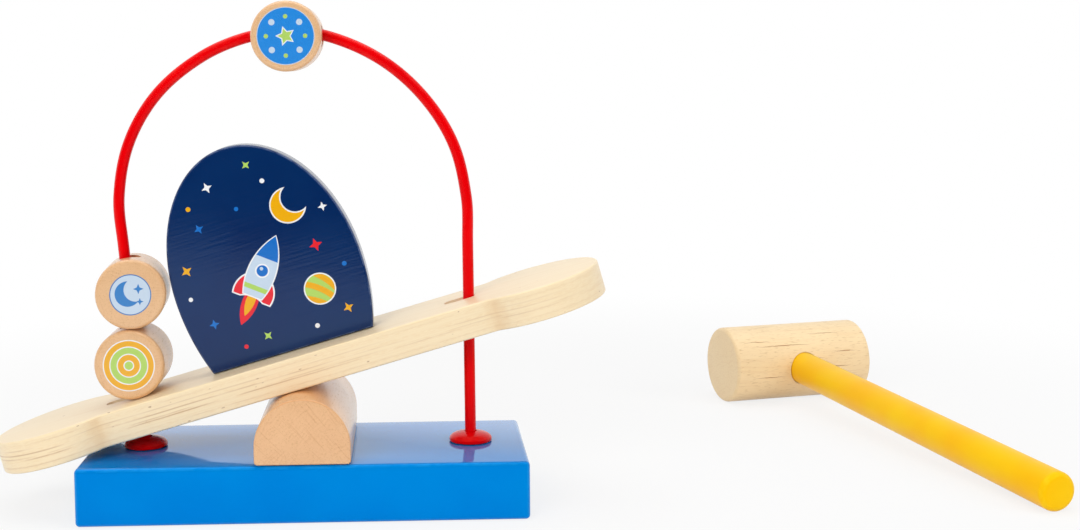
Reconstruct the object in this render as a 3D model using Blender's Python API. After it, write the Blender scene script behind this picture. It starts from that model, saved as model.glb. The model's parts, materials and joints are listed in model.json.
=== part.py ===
"""Hammer bench: a seesaw under a wire arch, with three discs that ride on the wire and a loose mallet."""
import math

import bmesh
import bpy
import numpy as np
from mathutils import Matrix, Vector

for old in list(bpy.data.objects):
    bpy.data.objects.remove(old, do_unlink=True)

# Base block
BASE_LENGTH = 0.2008
BASE_DEPTH = 0.0806
BASE_HEIGHT = 0.026
BASE_ROUND = 0.0020

# Fulcrum
FULCRUM_RADIUS = 0.0214
FULCRUM_SIDE = 0.0079
FULCRUM_LENGTH = 0.0802
FULCRUM_ROUND = 0.0008

# Seesaw board
BOARD_THICKNESS = 0.015
BOARD_HALF_WIDTH = 0.0242
BOARD_HALF_LENGTH = 0.145
PADDLE_RADIUS = 0.0320
NECK_ROUND = 0.006
BOARD_ROUND = 0.0010
REST_TILT = math.radians(15.84)
SLOT_WIDTH = 0.0070

# Sky panel, an ellipse above its widest line and a cut ellipse below it. It stands between a
# place on the right of the board and the discs on the left leg, and tucks in towards its foot.
PANEL_HEIGHT = 0.0984
PANEL_RIGHT_REACH = 0.0415
PANEL_DISC_GAP = 0.0069
PANEL_FOOT_TUCK = 0.0057
PANEL_WIDEST = 0.035
PANEL_THICKNESS = 0.015
PANEL_LEAN = 0.0033
PANEL_ROUND = 0.0012

# Wire arch. Between its two straight legs the centre line passes places, each at a share of
# the way from the left foot to the right one and at a height.
WIRE_RADIUS = 0.0026
LEFT_FOOT_INSET = 0.0251
LEFT_LEG_LEAN = -0.0866
RIGHT_FOOT_INSET = 0.0247
RIGHT_LEG_LEAN = -0.0043
LEG_TOP_HEIGHT = 0.1198
ARCH_SHARES = (
    -0.0636, -0.0291, 0.0589, 0.1927, 0.3331, 0.4589, 0.5854, 0.7424, 0.8689, 0.9570, 0.9947)
ARCH_HEIGHTS = (
    0.1425, 0.1674, 0.1894, 0.2059, 0.2148, 0.2168, 0.2147, 0.2037, 0.1865, 0.1648, 0.1401)
SOCKET_DEPTH = 0.018

# Foot caps
CAP_RADIUS = 0.0099
CAP_RIM = 0.0010
CAP_HEIGHT = 0.0046

# Discs. Each hangs to one side of the wire, by a share of its play on it.
DISC_RADIUS = 0.0160
DISC_THICKNESS = 0.028
DISC_ROUND = 0.0020
DISC_BORE = 0.0051
LOWER_PLAY_SHARE = -0.45
UPPER_PLAY_SHARE = 1.0
TOP_PLAY_SHARE = 0.8
UPPER_DISC_TURN = math.radians(4.5)
TOP_DISC_PLACE = -0.0064

# Axes that the two upper discs turn about as they follow the wire
UPPER_DISC_AXIS = (0.2048, 0.0, 0.1535)
TOP_DISC_AXIS = (-0.0058, 0.0, 0.1363)

# Dowels and screws
DOWEL_RADIUS = 0.0030
DOWEL_IN_BOARD = 0.0085
DOWEL_IN_PANEL = 0.0105
DOWEL_SPREAD = 0.0200
DOWEL_CHAMFER = 0.0006
SCREW_RADIUS = 0.0020
SCREW_HEAD_RADIUS = 0.0040
SCREW_HEAD_HEIGHT = 0.0024
SCREW_SINK = 0.0010
SCREW_LENGTH = 0.038
SCREW_TIP = 0.0040
SCREW_SPREAD = 0.0220
RECESS_WIDTH = 0.0008
RECESS_LENGTH = 0.0034
RECESS_DEPTH = 0.0012

# Mallet
HEAD_RADIUS = 0.0218
HEAD_LENGTH = 0.086
HEAD_ROUND = 0.0022
HANDLE_RADIUS = 0.0092
HANDLE_REACH = 0.249
HANDLE_ROUND = 0.0028
HANDLE_SOCKET = 0.028
MALLET_PLACE = (0.274, 0.196)
MALLET_TURN = math.radians(14.0)

# Clearances between neighbouring pieces
GAP = 0.0003
CUT_OVER = 0.0010

# Facets
ARC_STEPS = 40
ROUND_STEPS = 3
EDGE_STEPS = 8
WIRE_SIDES = 20
WIRE_STEPS_PER_SPAN = 6
MERGE_DISTANCE = 0.00001
SHARP_ANGLE = math.radians(35.0)

BASE_TOP = BASE_HEIGHT
FULCRUM_FOOT = BASE_TOP + GAP
CREST = FULCRUM_FOOT + FULCRUM_SIDE + FULCRUM_RADIUS
BOARD_LOW = GAP + FULCRUM_RADIUS * (1.0 - math.cos(REST_TILT))
BOARD_TOP = BOARD_LOW + BOARD_THICKNESS
PIVOT = Vector((0.0, 0.0, CREST))
LEFT_LEG = (LEFT_FOOT_INSET - BASE_LENGTH / 2.0, LEFT_LEG_LEAN)
RIGHT_LEG = (BASE_LENGTH / 2.0 - RIGHT_FOOT_INSET, RIGHT_LEG_LEAN)


def material(name, colour, roughness, metallic=0.0):
    made = bpy.data.materials.new(name)
    made.use_nodes = True
    shader = made.node_tree.nodes["Principled BSDF"]
    shader.inputs["Base Color"].default_value = (*colour, 1.0)
    shader.inputs["Roughness"].default_value = roughness
    shader.inputs["Metallic"].default_value = metallic
    return made


BLUE_PAINT = material("blue_paint", (0.002, 0.225, 0.638), 0.12)
BEECH = material("beech", (0.745, 0.447, 0.227), 0.45)
PLYWOOD = material("plywood", (0.870, 0.640, 0.390), 0.50)
NAVY_PAINT = material("navy_paint", (0.012, 0.035, 0.110), 0.30)
RED_COATING = material("red_coating", (0.760, 0.008, 0.012), 0.18)
DISC_WOOD = material("disc_wood", (0.780, 0.480, 0.250), 0.45)
DOWEL_WOOD = material("dowel_wood", (0.760, 0.560, 0.340), 0.60)
SCREW_STEEL = material("screw_steel", (0.620, 0.600, 0.560), 0.35, 1.0)
HEAD_WOOD = material("head_wood", (0.950, 0.720, 0.410), 0.50)
YELLOW_PAINT = material("yellow_paint", (1.000, 0.520, 0.002), 0.32)


def new_object(name, shape, surface, origin=Vector((0.0, 0.0, 0.0))):
    """Makes an object of a bmesh given in world places, with its origin where asked."""
    bmesh.ops.translate(shape, verts=shape.verts, vec=-origin)
    bmesh.ops.recalc_face_normals(shape, faces=shape.faces)
    mesh = bpy.data.meshes.new(name)
    shape.to_mesh(mesh)
    shape.free()
    mesh.materials.append(surface)
    made = bpy.data.objects.new(name, mesh)
    made.location = origin
    bpy.context.scene.collection.objects.link(made)
    return made


def shade(made):
    """Shades round faces smooth and keeps the sharper edges."""
    made.data.set_sharp_from_angle(angle=SHARP_ANGLE)
    for face in made.data.polygons:
        face.use_smooth = True


def rings_to_shape(rings):
    """Joins rings of equal point counts into a closed body, whose flat ends are strips across."""
    shape = bmesh.new()
    loops = [[shape.verts.new(tuple(point)) for point in ring] for ring in rings]
    count = len(loops[0])
    for low, high in zip(loops[:-1], loops[1:]):
        for i in range(count):
            j = (i + 1) % count
            shape.faces.new((low[i], low[j], high[j], high[i]))
    for loop in (loops[0], loops[-1]):
        for i in range((count - 1) // 2):
            corners = [loop[i], loop[i + 1], loop[count - 2 - i], loop[count - 1 - i]]
            shape.faces.new(list(dict.fromkeys(corners)))
    bmesh.ops.recalc_face_normals(shape, faces=shape.faces)
    return shape


def inset(outline, amount):
    """Moves each point of an anticlockwise outline inwards, by the same amount from both its edges."""
    before = outline - np.roll(outline, 1, axis=0)
    after = np.roll(outline, -1, axis=0) - outline
    before /= np.linalg.norm(before, axis=1)[:, None]
    after /= np.linalg.norm(after, axis=1)[:, None]
    inward = np.stack((-before[:, 1] - after[:, 1], before[:, 0] + after[:, 0]), axis=1)
    inward /= np.linalg.norm(inward, axis=1)[:, None]
    facing = -before[:, 1] * inward[:, 0] + before[:, 0] * inward[:, 1]
    return outline + inward * (amount / facing)[:, None]


def slab(outline, thickness, edge, frame):
    """A plate with rounded rims: outline in the frame's x and z, thickness along its y."""
    half = thickness / 2.0
    levels = []
    for step in range(ROUND_STEPS + 1):
        turn = math.pi / 2.0 * step / ROUND_STEPS
        levels.append((edge * (1.0 - math.sin(turn)), half - edge + edge * math.cos(turn)))
    rings = []
    for depth, height in levels:
        ring = inset(outline, depth)
        rings.append([frame @ Vector((x, -height, z)) for x, z in ring])
    for depth, height in reversed(levels):
        ring = inset(outline, depth)
        rings.append([frame @ Vector((x, height, z)) for x, z in ring])
    return rings_to_shape(rings)


def lathe(profile, frame, sides=ARC_STEPS):
    """Turns (radius, height) points round the frame's z; the ends are flat discs."""
    rings = []
    for radius, height in profile:
        ring = []
        for i in range(sides):
            turn = math.tau * i / sides
            ring.append(frame @ Vector((radius * math.cos(turn), radius * math.sin(turn), height)))
        rings.append(ring)
    return rings_to_shape(rings)


def rod(radius, start, end, sides=ARC_STEPS):
    """A plain round bar between two places."""
    run = end - start
    frame = Matrix.Translation(start) @ run.to_track_quat("Z", "Y").to_matrix().to_4x4()
    return lathe([(radius, 0.0), (radius, run.length)], frame, sides)


def box(size, centre, turn=0.0):
    """A block, turned about the z axis."""
    shape = bmesh.new()
    bmesh.ops.create_cube(shape, size=1.0)
    frame = Matrix.Translation(centre) @ Matrix.Rotation(turn, 4, "Z") @ Matrix.Diagonal((*size, 1.0))
    bmesh.ops.transform(shape, matrix=frame, verts=shape.verts)
    return shape


def cut(body, cutters):
    """Subtracts cutter shapes from a body."""
    for number, shape in enumerate(cutters):
        cutter = new_object("%s_cutter_%d" % (body.name, number), shape, body.data.materials[0])
        cutter.hide_render = True
        cutter.display_type = "WIRE"
        modifier = body.modifiers.new("cut", "BOOLEAN")
        modifier.operation = "DIFFERENCE"
        modifier.solver = "EXACT"
        modifier.object = cutter
        bpy.context.view_layer.update()
        carved = bpy.data.meshes.new_from_object(body.evaluated_get(bpy.context.evaluated_depsgraph_get()))
        body.modifiers.remove(modifier)
        bpy.data.objects.remove(cutter, do_unlink=True)
        body.data = carved
    finish = bmesh.new()
    finish.from_mesh(body.data)
    bmesh.ops.remove_doubles(finish, verts=finish.verts, dist=MERGE_DISTANCE)
    bmesh.ops.triangulate(finish, faces=finish.faces, quad_method="BEAUTY", ngon_method="BEAUTY")
    finish.to_mesh(body.data)
    finish.free()


def leg_place(leg, height):
    """The wire's centre on a straight leg at a height."""
    foot, lean = leg
    return Vector((foot + lean * (height - BASE_TOP), 0.0, height))


def leg_on_board(leg, above, tilt):
    """Where a leg crosses a plane of the board: distance along the board from the pivot."""
    foot, lean = leg
    along = foot + lean * (CREST + above * math.cos(tilt) - BASE_TOP) + above * math.sin(tilt)
    return along / (math.cos(tilt) - lean * math.sin(tilt))


def board_frame(tilt):
    """The board's frame: x along it, y across it, z away from it, origin on the pivot."""
    return Matrix.Translation(PIVOT) @ Matrix.Rotation(-tilt, 4, "Y")


REST = board_frame(REST_TILT)

# Room for the panel between the discs and its right reach, in the board's frame
widest_above = BOARD_TOP + GAP + PANEL_WIDEST
panel_left = leg_on_board(LEFT_LEG, widest_above, REST_TILT) + DISC_RADIUS + PANEL_DISC_GAP
panel_half_width = (PANEL_RIGHT_REACH - panel_left) / 2.0
panel_foot_half_width = panel_half_width - PANEL_FOOT_TUCK
panel_middle = (PANEL_RIGHT_REACH + panel_left) / 2.0 + PANEL_LEAN * PANEL_WIDEST / PANEL_HEIGHT

# Wire path
legs = []
for leg in (LEFT_LEG, RIGHT_LEG):
    legs.append((leg_place(leg, BASE_TOP - SOCKET_DEPTH), leg_place(leg, LEG_TOP_HEIGHT)))
feet_apart = RIGHT_LEG[0] - LEFT_LEG[0]
middle = [Vector((LEFT_LEG[0] + share * feet_apart, 0.0, height))
          for share, height in zip(ARCH_SHARES, ARCH_HEIGHTS)]
knots = [legs[0][1], *middle, legs[1][1]]
slopes = [(legs[0][1] - legs[0][0]).normalized()]
for before, after in zip(knots[:-2], knots[2:]):
    slopes.append((after - before).normalized())
slopes.append((legs[1][0] - legs[1][1]).normalized())
path = [(legs[0][0], slopes[0])]
for a, b, slope_a, slope_b in zip(knots[:-1], knots[1:], slopes[:-1], slopes[1:]):
    span = (b - a).length
    for step in range(WIRE_STEPS_PER_SPAN):
        t = step / WIRE_STEPS_PER_SPAN
        place = (a * (2.0 * t ** 3 - 3.0 * t ** 2 + 1.0) + b * (3.0 * t ** 2 - 2.0 * t ** 3)
                 + slope_a * span * (t ** 3 - 2.0 * t ** 2 + t) + slope_b * span * (t ** 3 - t ** 2))
        heading = (a * (6.0 * t ** 2 - 6.0 * t) + b * (6.0 * t - 6.0 * t ** 2)
                   + slope_a * span * (3.0 * t ** 2 - 4.0 * t + 1.0)
                   + slope_b * span * (3.0 * t ** 2 - 2.0 * t))
        path.append((place, heading.normalized()))
path.append((knots[-1], slopes[-1]))
path.append((legs[1][0], slopes[-1]))
rings = []
for place, heading in path:
    side = Vector((heading.z, 0.0, -heading.x))
    ring = []
    for i in range(WIRE_SIDES):
        turn = math.tau * i / WIRE_SIDES
        ring.append(place + WIRE_RADIUS * (math.cos(turn) * side + math.sin(turn) * Vector((0.0, 1.0, 0.0))))
    rings.append(ring)
wire_arch = new_object("wire_arch", rings_to_shape(rings), RED_COATING)
shade(wire_arch)

# Base block
shape = box((BASE_LENGTH, BASE_DEPTH, BASE_HEIGHT), Vector((0.0, 0.0, BASE_HEIGHT / 2.0)))
bmesh.ops.bevel(
    shape, geom=shape.edges[:], offset=BASE_ROUND, segments=ROUND_STEPS, profile=0.5, affect="EDGES")
base_block = new_object("base_block", shape, BLUE_PAINT)
cutters = []
for leg in (LEFT_LEG, RIGHT_LEG):
    low = leg_place(leg, BASE_TOP - SOCKET_DEPTH - GAP)
    cutters.append(rod(WIRE_RADIUS + GAP, low, leg_place(leg, BASE_TOP + CUT_OVER)))
screw_places = (("fulcrum_screw_front", -SCREW_SPREAD), ("fulcrum_screw_back", SCREW_SPREAD))
for _, y in screw_places:
    foot = Vector((0.0, y, 0.0))
    wide = SCREW_HEAD_RADIUS + GAP
    slim = SCREW_RADIUS + GAP
    sunk = SCREW_SINK + SCREW_HEAD_HEIGHT + GAP
    profile = [(wide, -CUT_OVER), (wide, SCREW_SINK + GAP), (slim, sunk), (slim, BASE_HEIGHT + CUT_OVER)]
    cutters.append(lathe(profile, Matrix.Translation(foot)))
cut(base_block, cutters)
shade(base_block)

# Fulcrum
arc = []
for i in range(ARC_STEPS + 1):
    turn = math.pi * i / ARC_STEPS
    arc.append((FULCRUM_RADIUS * math.cos(turn), FULCRUM_SIDE + FULCRUM_RADIUS * math.sin(turn)))
outline = np.array([(-FULCRUM_RADIUS, 0.0), (FULCRUM_RADIUS, 0.0), *arc])
frame = Matrix.Translation((0.0, 0.0, FULCRUM_FOOT))
fulcrum = new_object("fulcrum", slab(outline, FULCRUM_LENGTH, FULCRUM_ROUND, frame), BEECH)
cutters = []
for _, y in screw_places:
    low = Vector((0.0, y, FULCRUM_FOOT - CUT_OVER))
    cutters.append(rod(SCREW_RADIUS + GAP, low, Vector((0.0, y, SCREW_SINK + SCREW_LENGTH + GAP))))
cut(fulcrum, cutters)
shade(fulcrum)

# Screws
for name, y in screw_places:
    profile = [
        (SCREW_HEAD_RADIUS, SCREW_SINK),
        (SCREW_RADIUS, SCREW_SINK + SCREW_HEAD_HEIGHT),
        (SCREW_RADIUS, SCREW_SINK + SCREW_LENGTH - SCREW_TIP),
        (SCREW_RADIUS / 4.0, SCREW_SINK + SCREW_LENGTH)]
    screw = new_object(name, lathe(profile, Matrix.Translation((0.0, y, 0.0))), SCREW_STEEL)
    centre = Vector((0.0, y, SCREW_SINK))
    size = (RECESS_LENGTH, RECESS_WIDTH, 2.0 * RECESS_DEPTH)
    cut(screw, [box(size, centre), box(size, centre, math.pi / 2.0)])
    shade(screw)

# Seesaw board
paddle = BOARD_HALF_LENGTH - PADDLE_RADIUS
reach = math.sqrt((PADDLE_RADIUS + NECK_ROUND) ** 2 - (BOARD_HALF_WIDTH + NECK_ROUND) ** 2)
neck = Vector((paddle - reach, BOARD_HALF_WIDTH + NECK_ROUND))
touch = math.atan2(neck.y, -reach)
quarter = []
for i in range(ARC_STEPS // 2 + 1):
    turn = touch * i / (ARC_STEPS // 2)
    quarter.append((paddle + PADDLE_RADIUS * math.cos(turn), PADDLE_RADIUS * math.sin(turn)))
for i in range(1, ARC_STEPS // 4 + 1):
    turn = touch - math.pi + (-math.pi / 2.0 - touch + math.pi) * i / (ARC_STEPS // 4)
    quarter.append((neck.x + NECK_ROUND * math.cos(turn), neck.y + NECK_ROUND * math.sin(turn)))
for i in range(1, EDGE_STEPS):
    quarter.append((neck.x * (1.0 - i / EDGE_STEPS), BOARD_HALF_WIDTH))
right_top = np.array(quarter)
left_top = right_top[::-1] * (-1.0, 1.0)
left_low = right_top[1:] * (-1.0, -1.0)
right_low = right_top[::-1][:-1] * (1.0, -1.0)
outline = np.concatenate((right_top, left_top, left_low, right_low))
lift = Matrix.Translation((0.0, 0.0, (BOARD_LOW + BOARD_TOP) / 2.0))
flat = REST @ lift @ Matrix.Rotation(math.pi / 2.0, 4, "X")
seesaw_board = new_object("seesaw_board", slab(outline, BOARD_THICKNESS, BOARD_ROUND, flat), PLYWOOD, PIVOT)
cutters = []
for leg in (LEFT_LEG, RIGHT_LEG):
    crossings = []
    for tilt in (REST_TILT, -REST_TILT):
        crossings += [leg_on_board(leg, BOARD_LOW, tilt), leg_on_board(leg, BOARD_TOP, tilt)]
    room = WIRE_RADIUS / math.cos(REST_TILT + abs(leg[1])) + GAP
    start = min(crossings) - room + SLOT_WIDTH / 2.0
    end = max(crossings) + room - SLOT_WIDTH / 2.0
    stadium = []
    for centre, opening in ((end, -math.pi / 2.0), (start, math.pi / 2.0)):
        for i in range(ARC_STEPS // 2 + 1):
            turn = opening + math.pi * i / (ARC_STEPS // 2)
            x = centre + SLOT_WIDTH / 2.0 * math.cos(turn)
            stadium.append((x, SLOT_WIDTH / 2.0 * math.sin(turn)))
    levels = (BOARD_LOW - CUT_OVER, BOARD_TOP + CUT_OVER)
    cutters.append(rings_to_shape([[REST @ Vector((x, y, z)) for x, y in stadium] for z in levels]))
dowel_places = (("panel_dowel_left", -DOWEL_SPREAD), ("panel_dowel_right", DOWEL_SPREAD))
for _, offset in dowel_places:
    low = REST @ Vector((panel_middle + offset, 0.0, BOARD_TOP - DOWEL_IN_BOARD - GAP))
    high = REST @ Vector((panel_middle + offset, 0.0, BOARD_TOP + CUT_OVER))
    cutters.append(rod(DOWEL_RADIUS + GAP, low, high))
cut(seesaw_board, cutters)
shade(seesaw_board)

# Sky panel
lower_depth = PANEL_WIDEST / math.sqrt(1.0 - (panel_foot_half_width / panel_half_width) ** 2)
upper_depth = PANEL_HEIGHT - PANEL_WIDEST
low_turn = math.asin(PANEL_WIDEST / lower_depth)
right_side = []
for i in range(ARC_STEPS // 2):
    turn = -low_turn + low_turn * i / (ARC_STEPS // 2)
    right_side.append((panel_half_width * math.cos(turn), PANEL_WIDEST + lower_depth * math.sin(turn)))
for i in range(ARC_STEPS + 1):
    turn = math.pi / 2.0 * i / ARC_STEPS
    right_side.append((panel_half_width * math.cos(turn), PANEL_WIDEST + upper_depth * math.sin(turn)))
right_side = np.array(right_side)
outline = np.concatenate((right_side, right_side[::-1][1:] * (-1.0, 1.0)))
outline[:, 0] += panel_middle - PANEL_LEAN * outline[:, 1] / PANEL_HEIGHT
outline[:, 1] += BOARD_TOP + GAP
sky_panel = new_object("sky_panel", slab(outline, PANEL_THICKNESS, PANEL_ROUND, REST), NAVY_PAINT, PIVOT)
cutters = []
for _, offset in dowel_places:
    low = REST @ Vector((panel_middle + offset, 0.0, BOARD_TOP - CUT_OVER))
    high = REST @ Vector((panel_middle + offset, 0.0, BOARD_TOP + DOWEL_IN_PANEL + 2.0 * GAP))
    cutters.append(rod(DOWEL_RADIUS + GAP, low, high))
cut(sky_panel, cutters)
shade(sky_panel)

# Panel dowels
for name, offset in dowel_places:
    frame = REST @ Matrix.Translation((panel_middle + offset, 0.0, BOARD_TOP))
    slim = DOWEL_RADIUS - DOWEL_CHAMFER
    profile = [
        (slim, -DOWEL_IN_BOARD),
        (DOWEL_RADIUS, DOWEL_CHAMFER - DOWEL_IN_BOARD),
        (DOWEL_RADIUS, DOWEL_IN_PANEL - DOWEL_CHAMFER),
        (slim, DOWEL_IN_PANEL)]
    shade(new_object(name, lathe(profile, frame), DOWEL_WOOD, PIVOT))

# Foot caps
for name, leg in (("foot_cap_left", LEFT_LEG), ("foot_cap_right", RIGHT_LEG)):
    foot = leg_place(leg, BASE_TOP)
    profile = [(CAP_RADIUS, 0.0), (CAP_RADIUS, CAP_RIM)]
    for i in range(1, ARC_STEPS // 4 + 1):
        turn = math.pi / 2.0 * i / (ARC_STEPS // 4)
        radius = max(CAP_RADIUS * math.cos(turn), WIRE_RADIUS / 2.0)
        profile.append((radius, CAP_RIM + (CAP_HEIGHT - CAP_RIM) * math.sin(turn)))
    frame = Matrix.Translation(foot + Vector((0.0, 0.0, GAP)))
    cap = new_object(name, lathe(profile, frame), RED_COATING)
    high = leg_place(leg, BASE_TOP + CAP_HEIGHT + GAP + CUT_OVER)
    cut(cap, [rod(WIRE_RADIUS + GAP, leg_place(leg, BASE_TOP - CUT_OVER), high)])
    shade(cap)


def disc(name, centre, heading, origin, turn_on_wire=0.0):
    """A thick round disc with its axis across the bench, turned about a bore along the wire's heading."""
    outline = []
    for i in range(2 * ARC_STEPS):
        turn = math.tau * i / (2 * ARC_STEPS)
        outline.append((DISC_RADIUS * math.cos(turn), DISC_RADIUS * math.sin(turn)))
    frame = Matrix.Translation(centre) @ Matrix.Rotation(turn_on_wire, 4, heading)
    shape = slab(np.array(outline), DISC_THICKNESS, DISC_ROUND, frame)
    made = new_object(name, shape, DISC_WOOD, origin)
    end = heading.normalized() * (DISC_RADIUS + CUT_OVER)
    cut(made, [rod(DISC_BORE, centre - end, centre + end)])
    shade(made)


# Discs on the left leg
heading = slopes[0]
across = Vector((heading.z, 0.0, -heading.x))
play = DISC_BORE - WIRE_RADIUS - GAP
above = BOARD_TOP + GAP + DISC_RADIUS
along = leg_on_board(LEFT_LEG, above, REST_TILT) + LOWER_PLAY_SHARE * play
lower_centre = REST @ Vector((along, 0.0, above))
beside = UPPER_PLAY_SHARE * play - across.dot(lower_centre - leg_place(LEFT_LEG, lower_centre.z))
rise = math.sqrt((2.0 * DISC_RADIUS + GAP) ** 2 - beside ** 2)
upper_centre = lower_centre + heading * rise + across * beside
disc("disc_lower", lower_centre, heading, lower_centre)
disc("disc_upper", upper_centre, heading, Vector(UPPER_DISC_AXIS), UPPER_DISC_TURN)

# Disc at the top of the arch
over = min((place for place, _ in path), key=lambda place: abs(place.x - TOP_DISC_PLACE))
top_centre = over - Vector((0.0, 0.0, TOP_PLAY_SHARE * play))
disc("disc_top", top_centre, Vector((1.0, 0.0, 0.0)), Vector(TOP_DISC_AXIS))

# Mallet
slope = math.asin((HEAD_RADIUS - HANDLE_RADIUS) / HANDLE_REACH)
head_centre = Vector((*MALLET_PLACE, HEAD_RADIUS))
handle_way = Matrix.Rotation(MALLET_TURN, 3, "Z") @ Vector((0.0, -math.cos(slope), -math.sin(slope)))
head_way = Matrix.Rotation(MALLET_TURN, 3, "Z") @ Vector((1.0, 0.0, 0.0))
up_way = head_way.cross(handle_way).normalized()
head_turn = Matrix((up_way, handle_way, head_way)).transposed().to_4x4()
half = HEAD_LENGTH / 2.0
ends = []
for step in range(ROUND_STEPS + 1):
    turn = math.pi / 2.0 * step / ROUND_STEPS
    radius = HEAD_RADIUS - HEAD_ROUND * (1.0 - math.sin(turn))
    ends.append((radius, half - HEAD_ROUND * (1.0 - math.cos(turn))))
profile = [(radius, -height) for radius, height in ends]
profile += [(radius, height) for radius, height in reversed(ends)]
shape = lathe(profile, Matrix.Translation(head_centre) @ head_turn, 2 * ARC_STEPS)
mallet_head = new_object("mallet_head", shape, HEAD_WOOD, head_centre)
socket = head_centre + handle_way * (HEAD_RADIUS - HANDLE_SOCKET - GAP)
cut(mallet_head, [rod(HANDLE_RADIUS + GAP, socket, head_centre + handle_way * (HEAD_RADIUS + CUT_OVER))])
shade(mallet_head)
start = HEAD_RADIUS - HANDLE_SOCKET
profile = [(HANDLE_RADIUS - DOWEL_CHAMFER, start), (HANDLE_RADIUS, start + DOWEL_CHAMFER)]
for step in range(ROUND_STEPS + 1):
    turn = math.pi / 2.0 * step / ROUND_STEPS
    radius = HANDLE_RADIUS - HANDLE_ROUND * (1.0 - math.cos(turn))
    profile.append((radius, HANDLE_REACH - HANDLE_ROUND * (1.0 - math.sin(turn))))
handle_turn = Matrix((head_way, up_way, handle_way)).transposed().to_4x4()
shape = lathe(profile, Matrix.Translation(head_centre) @ handle_turn)
shade(new_object("mallet_handle", shape, YELLOW_PAINT, head_centre))
print("crest %.5f" % CREST, "board low %.5f" % BOARD_LOW)
print("disc centres", [tuple(round(v, 5) for v in p) for p in (lower_centre, upper_centre, top_centre)])
print("leg heading", tuple(round(v, 5) for v in heading))
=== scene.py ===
"""Hammer bench: the looks of a wooden seesaw toy with a wire arch, discs and a mallet."""
# %% [markdown]
# # Hammer bench
#
# A blue block carries a half-round fulcrum, and a plywood board rocks on it. A red wire arch stands
# over the board and passes through three thick wooden discs. A navy panel with a printed night sky
# stands on the board, and a mallet with a yellow handle lies beside the bench.
#
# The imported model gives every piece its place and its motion. This lesson builds the fine surfaces
# and the finishes on top of it. Lengths are in metres.

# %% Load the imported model
import json
import math

import bmesh
import bpy
import numpy as np
from mathutils import Matrix, Vector


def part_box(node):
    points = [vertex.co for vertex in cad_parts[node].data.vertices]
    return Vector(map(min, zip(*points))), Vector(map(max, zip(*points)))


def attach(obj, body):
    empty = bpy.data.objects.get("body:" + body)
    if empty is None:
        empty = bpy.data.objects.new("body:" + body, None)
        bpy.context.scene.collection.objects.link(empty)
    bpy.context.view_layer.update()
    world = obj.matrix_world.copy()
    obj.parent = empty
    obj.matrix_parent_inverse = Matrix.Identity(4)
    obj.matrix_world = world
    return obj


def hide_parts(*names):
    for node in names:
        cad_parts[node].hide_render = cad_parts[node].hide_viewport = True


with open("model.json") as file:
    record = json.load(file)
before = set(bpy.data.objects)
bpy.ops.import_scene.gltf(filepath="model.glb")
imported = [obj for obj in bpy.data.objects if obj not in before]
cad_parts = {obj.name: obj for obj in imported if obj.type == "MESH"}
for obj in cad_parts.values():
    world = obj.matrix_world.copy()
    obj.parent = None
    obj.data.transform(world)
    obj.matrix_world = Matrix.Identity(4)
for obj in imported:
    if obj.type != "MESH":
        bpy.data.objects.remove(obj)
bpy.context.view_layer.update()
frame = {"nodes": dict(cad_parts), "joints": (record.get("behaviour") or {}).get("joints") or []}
nodes = frame["nodes"]
joints = {joint["name"]: joint for joint in frame["joints"]}

# %% [markdown]
# ## Measures
#
# The joints already say where things are: the board turns about the crest of the fulcrum, and it rests
# half its range away from level. Sizes that can be read from the solids are read from them. The rest,
# such as roundings, repeat what the workshop drawing says.

# %% Measures of the bench
pivot = np.array(joints["seesaw_tilt"]["pos_m"])
rest_tilt = math.radians(joints["seesaw_tilt"]["range_deg"][1]) / 2.0


def spread(node):
    """Lowest and highest corner of a solid as arrays."""
    low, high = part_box(node)
    return np.array(low), np.array(high)


base_low, base_high = spread("base_block")
fulcrum_low, fulcrum_high = spread("fulcrum")
fulcrum_radius = (fulcrum_high[0] - fulcrum_low[0]) / 2.0
fulcrum_side = fulcrum_high[2] - fulcrum_low[2] - fulcrum_radius
print("tilt at rest", round(math.degrees(rest_tilt), 2), "fulcrum radius", round(fulcrum_radius, 4))

# %% [markdown]
# ## From arrays to a mesh
#
# Each surface here is a grid of points: rows along one parameter, columns along the other. One helper
# joins neighbouring points into four-sided faces, and another puts the arrays into a mesh. Building
# whole arrays is quicker than adding corners one by one, and the formula stays readable.

# %% Grid and mesh helpers
MERGE = 1e-6
SHARP = math.radians(32.0)


def grid_faces(rows, columns, wrap_rows=False, wrap_columns=False):
    """Faces of a grid: corner (i, j) joins (i, j+1), (i+1, j+1) and (i+1, j); wrapping closes the loop."""
    i = np.arange(rows if wrap_rows else rows - 1)
    j = np.arange(columns if wrap_columns else columns - 1)
    i, j = np.meshgrid(i, j, indexing="ij")
    below, right = (i + 1) % rows, (j + 1) % columns
    corners = (i * columns + j, i * columns + right, below * columns + right, below * columns + j)
    return np.stack(corners, axis=-1).reshape(-1, 4)


def make_piece(name, grids):
    """Joins grids, each given as (points, wrap rows, wrap columns), into one closed smooth object."""
    points, faces, start = [], [], 0
    for surface, wrap_rows, wrap_columns in grids:
        rows, columns = surface.shape[:2]
        points.append(surface.reshape(-1, 3))
        faces.append(grid_faces(rows, columns, wrap_rows, wrap_columns) + start)
        start += rows * columns
    mesh = bpy.data.meshes.new(name)
    mesh.from_pydata(np.concatenate(points).tolist(), [], np.concatenate(faces).tolist())
    shape = bmesh.new()
    shape.from_mesh(mesh)
    bmesh.ops.remove_doubles(shape, verts=shape.verts, dist=MERGE)
    bmesh.ops.recalc_face_normals(shape, faces=shape.faces)
    shape.to_mesh(mesh)
    shape.free()
    piece = bpy.data.objects.new(name, mesh)
    bpy.context.scene.collection.objects.link(piece)
    smooth(piece)
    return piece


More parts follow.
